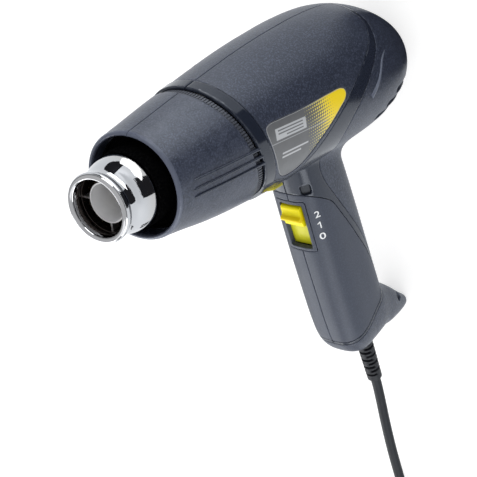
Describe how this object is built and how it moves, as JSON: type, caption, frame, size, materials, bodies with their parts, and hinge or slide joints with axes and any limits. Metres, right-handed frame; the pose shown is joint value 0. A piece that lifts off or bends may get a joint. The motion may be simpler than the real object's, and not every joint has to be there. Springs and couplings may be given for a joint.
{
  "type": "hot air tool",
  "caption": "Pistol-grip hot air tool with chrome nozzle, sliding heat switch, ribbed cord boot, coiled mains cord and plug, standing on its rear cap.",
  "frame": {"origin": "centre of the barrel axis on the plane that the rear cap and the heel of the handle stand on", "axes": "+Z along the barrel towards the nozzle, the handle points to -X, the label side in the picture faces -Y"},
  "size_m": [0.4908, 0.1082, 0.255],
  "materials": {
    "shell_glossy": "smooth glossy slate blue-grey plastic",
    "shell_textured": "fine-grained satin slate blue-grey plastic",
    "grip_satin": "satin slate grey soft-touch plastic",
    "black_rubber": "matt black rubber",
    "label_grey": "printed label, grey with a yellow dotted tip",
    "yellow_plastic": "bright yellow plastic",
    "black_plastic": "matt black plastic",
    "fan_plastic": "pale nylon",
    "motor_metal": "black painted steel",
    "steel": "bare steel",
    "mica": "amber mica sheet",
    "ceramic": "off-white ceramic",
    "copper_wire": "copper-coloured heating wire",
    "brass": "plain brass",
    "chrome": "polished chrome",
    "cord_grey": "dark grey cord jacket"
  },
  "bodies": {
    "body": {"housing_left": "shell_glossy", "housing_right": "shell_glossy", "top_panel_left": "shell_textured", "top_panel_right": "shell_textured", "grip_panel_left": "grip_satin", "grip_panel_right": "grip_satin", "groove_ring": "black_rubber", "collar_left": "shell_glossy", "collar_right": "shell_glossy", "label_left": "label_grey", "label_right": "label_grey", "belly_inlay": "yellow_plastic", "rear_shell": "shell_textured", "intake_guard": "black_plastic", "motor_can": "motor_metal", "motor_bell": "black_plastic", "magnet_left": "motor_metal", "magnet_right": "motor_metal", "motor_mount": "black_plastic", "fan_shroud": "black_plastic", "air_duct": "black_plastic", "duct_stay": "black_plastic", "heat_tube": "steel", "barrel_liner": "black_plastic", "mica_tube": "mica", "heater_core": "ceramic", "heater_base": "ceramic", "heater_base_post": "steel", "heater_winding": "copper_wire", "thermal_cutout": "brass", "nozzle": "chrome", "nozzle_guide": "steel", "switch_bezel": "grip_satin", "switch_block": "black_plastic", "switch_tab_1": "brass", "switch_tab_2": "brass", "switch_tab_3": "brass", "switch_tab_4": "brass", "cord_inner": "cord_grey", "clamp_screw_left": "steel", "clamp_screw_right": "steel", "cord_clamp": "black_plastic", "strain_relief": "black_rubber", "screw_top_front": "steel", "screw_top_rear": "steel", "screw_belly": "steel", "screw_grip_upper": "steel", "screw_grip_lower": "steel", "cord_free": "cord_grey", "cord_coil": "cord_grey", "plug_body": "black_rubber", "plug_pin_left": "steel", "plug_pin_right": "steel"},
    "slider": {"switch_slider": "yellow_plastic"},
    "rotor": {"fan_rotor": "fan_plastic"}
  },
  "joints": [
    {"name": "switch_slide", "type": "slide", "parent": "body", "child": "slider", "axis": [-0.9603, 0, -0.279], "range_m": [0, 0.014]},
    {"name": "fan_spin", "type": "hinge", "parent": "body", "child": "rotor", "pos_m": [0, 0, 0.045], "axis": [0, 0, 1], "continuous": true}
  ]
}
